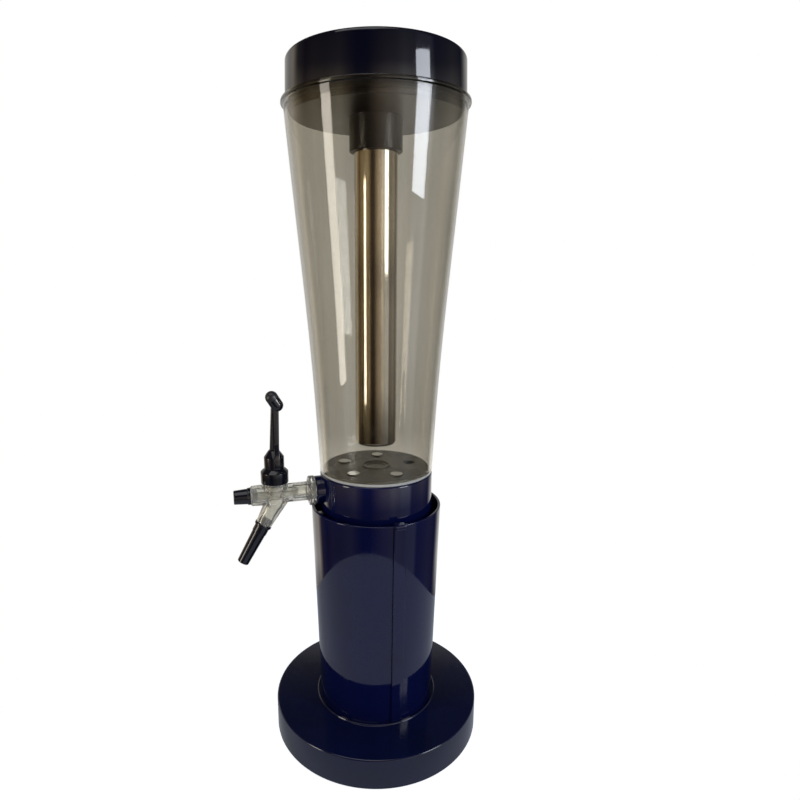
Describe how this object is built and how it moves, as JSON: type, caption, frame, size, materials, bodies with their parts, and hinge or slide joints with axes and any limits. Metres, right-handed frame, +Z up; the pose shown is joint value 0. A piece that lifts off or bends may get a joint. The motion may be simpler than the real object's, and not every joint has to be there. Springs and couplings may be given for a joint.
{
  "type": "beer tower dispenser",
  "caption": "Table-top drinks tower: weighted round foot, sleeved column, clear flared tank with lid and hanging steel ice tube, and a lever tap at the collar.",
  "frame": {"origin": "on the tower's axis, on the resting face of the foot's pad", "axes": "+Z up along the tower's axis; the tap points to -Y; the sleeve's seam is on the +X side"},
  "size_m": [0.2, 0.2328, 0.616],
  "materials": {
    "navy_gloss": "moulded navy ABS, high gloss",
    "navy_satin": "moulded navy ABS, satin",
    "clear_plastic": "clear moulded plastic, polished",
    "stainless": "polished stainless steel",
    "rubber": "black food-grade rubber",
    "silicone": "natural translucent silicone",
    "nylon": "natural nylon",
    "grey_plastic": "dark grey plastic, satin",
    "plate_plastic": "dark plastic, satin",
    "zinc_steel": "zinc-plated steel",
    "ballast_iron": "raw cast iron"
  },
  "bodies": {
    "foot": {"base_pad": "rubber", "base_plate": "plate_plastic", "base_screws": "zinc_steel", "base_ballast": "ballast_iron", "base_shell": "navy_gloss", "core_screws": "zinc_steel", "column_core": "navy_satin", "column_sleeve": "navy_gloss", "sleeve_clip": "navy_gloss"},
    "tank": {"collar": "navy_gloss", "sump_floor": "navy_gloss", "tank_gasket": "rubber", "tank": "clear_plastic", "tank_floor": "clear_plastic", "tap_gasket": "rubber", "tap_nut": "nylon", "tap_body": "clear_plastic", "ball_seat": "nylon", "bonnet_nut": "navy_gloss", "plug_seal": "rubber", "front_plug": "navy_gloss", "spout_nozzle": "navy_gloss"},
    "lever": {"lever": "navy_gloss", "lever_cap": "grey_plastic"},
    "valve": {"valve_shaft": "nylon", "seat_washer": "silicone"},
    "lid": {"lid_cap": "navy_gloss", "lid_insert": "navy_gloss", "lid_seal": "rubber", "ice_tube": "stainless", "tube_seal": "rubber"}
  },
  "joints": [
    {"name": "tank_lift", "type": "slide", "parent": "foot", "child": "tank", "axis": [0, 0, 1], "range_m": [0, 0.055]},
    {"name": "lever_swing", "type": "hinge", "parent": "tank", "child": "lever", "pos_m": [0, -0.0956, 0.258], "axis": [1, 0, 0], "range_deg": [0, 22]},
    {"name": "valve_slide", "type": "slide", "parent": "tank", "child": "valve", "axis": [0, 1, 0], "range_m": [0, 0.00425]},
    {"name": "lid_lift", "type": "slide", "parent": "tank", "child": "lid", "axis": [0, 0, 1], "range_m": [0, 0.3]}
  ],
  "couplings": [
    {"joint": "valve_slide", "follows": "lever_swing", "m_per_rad": 0.011}
  ]
}
